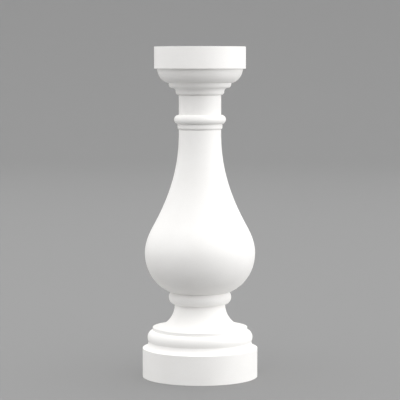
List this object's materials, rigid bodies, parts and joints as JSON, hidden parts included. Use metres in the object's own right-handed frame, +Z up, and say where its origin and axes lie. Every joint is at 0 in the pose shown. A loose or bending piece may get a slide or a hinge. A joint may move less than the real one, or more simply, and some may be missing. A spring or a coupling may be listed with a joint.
{
  "type": "baluster",
  "caption": "Round turned baluster with a drum plinth, scotia base, swelling bulb, slim ringed neck and round abacus, which stands upright and carries a rail.",
  "frame": {"origin": "centre of the flat underside, on the turning axis", "axes": "+Z up along the turning axis, +X to the right and -Y towards the viewer of the picture"},
  "size_m": [0.1396, 0.1396, 0.4],
  "materials": {
    "white_stone": "matt white, fine-grained cast stone"
  },
  "bodies": {
    "root": {"baluster": "white_stone"}
  },
  "joints": []
}
